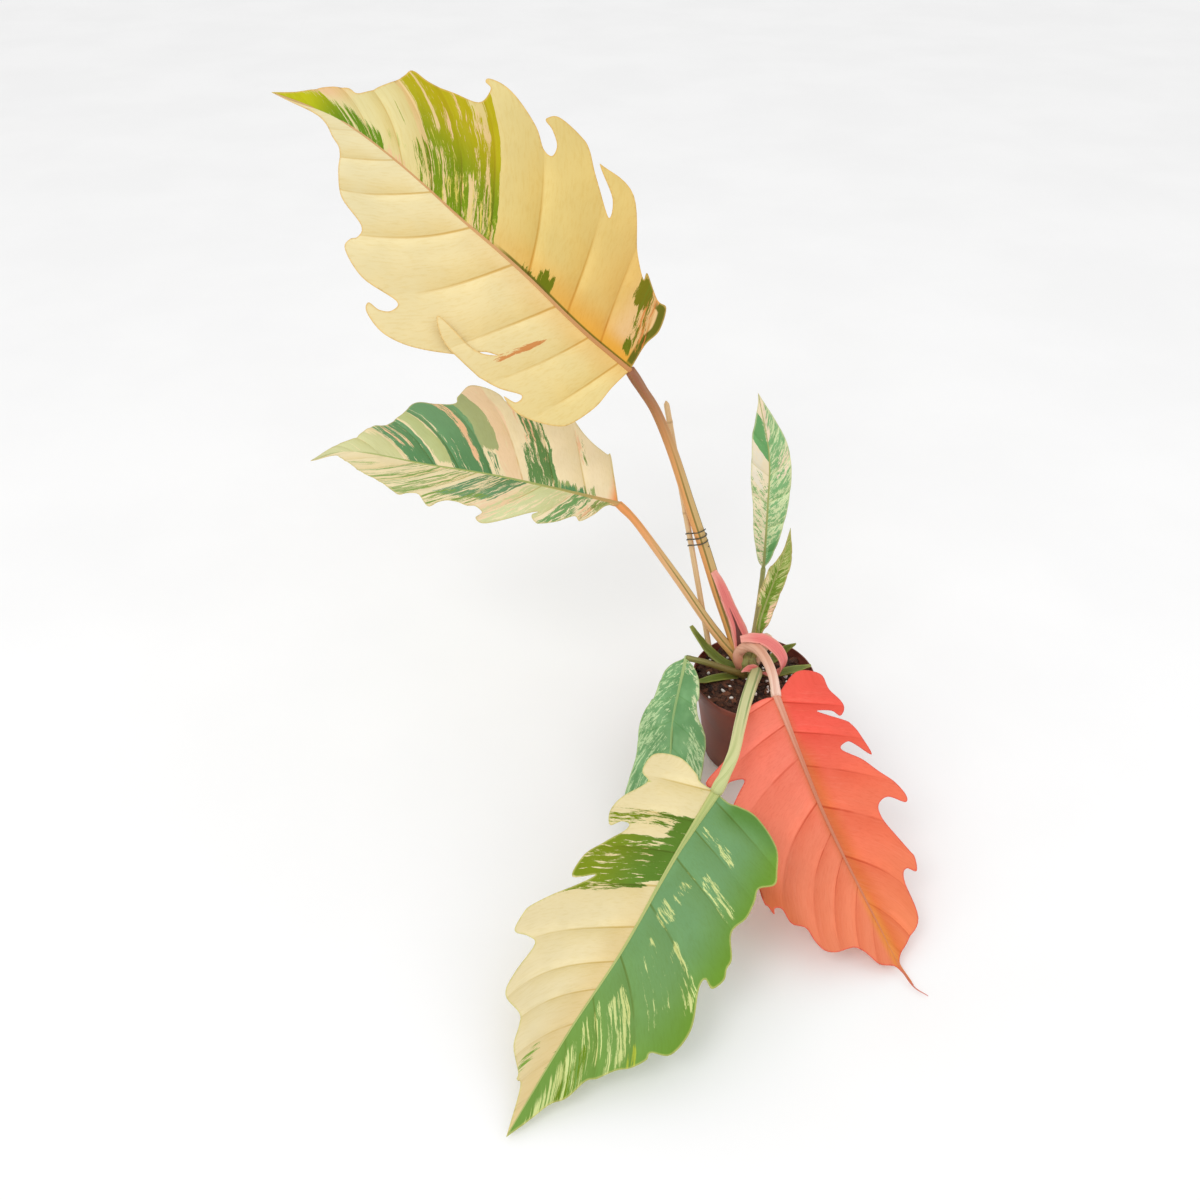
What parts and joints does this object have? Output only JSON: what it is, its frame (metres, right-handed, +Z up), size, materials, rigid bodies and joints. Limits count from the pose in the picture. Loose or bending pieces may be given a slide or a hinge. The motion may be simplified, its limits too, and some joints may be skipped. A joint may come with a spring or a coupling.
{
  "type": "potted caramel marble philodendron",
  "caption": "Potted aroid house plant with large toothed marbled leaves on long stalks round one short stem, in a round nursery pot of bark soil with a bamboo stick.",
  "frame": {"origin": "middle of the pot's flat base, on the surface it stands on", "axes": "+Z up along the pot, -Y to the front where the two largest low leaves hang, -X to the side the tall leaf leans to"},
  "size_m": [0.5578, 0.5894, 0.6097],
  "materials": {
    "pot_plastic": "satin",
    "bark_soil": "matte",
    "stem_skin": "matte",
    "bamboo": "matte",
    "tie_wire": "satin",
    "cream_blade": "satin",
    "marbled_blade": "satin",
    "green_blade": "satin",
    "coral_blade": "satin",
    "halfmoon_blade": "satin",
    "orange_petiole": "satin",
    "green_petiole": "satin",
    "pink_petiole": "satin",
    "pink_sheath": "satin",
    "green_sheath": "satin"
  },
  "bodies": {
    "root": {"pot": "pot_plastic", "soil": "bark_soil", "stem": "stem_skin", "bamboo_stick": "bamboo", "wire_tie": "tie_wire", "leaf_tall_cream": "cream_blade", "petiole_tall_cream": "orange_petiole", "leaf_back_marbled": "marbled_blade", "petiole_back_marbled": "orange_petiole", "leaf_upright_slim": "marbled_blade", "petiole_upright_slim": "green_petiole", "leaf_upright_small": "green_blade", "petiole_upright_small": "green_petiole", "leaf_coral": "coral_blade", "petiole_coral": "pink_petiole", "leaf_front_halfmoon": "halfmoon_blade", "petiole_front_halfmoon": "green_petiole", "leaf_left_hanging": "green_blade", "petiole_left_hanging": "green_petiole", "petiole_stub": "pink_petiole", "pink_sheath": "pink_sheath", "pink_curl": "pink_sheath", "pink_scale": "pink_sheath", "green_left_back": "green_sheath", "green_left_front": "green_sheath", "green_right_back": "green_sheath", "green_right_front": "green_sheath"}
  },
  "joints": []
}
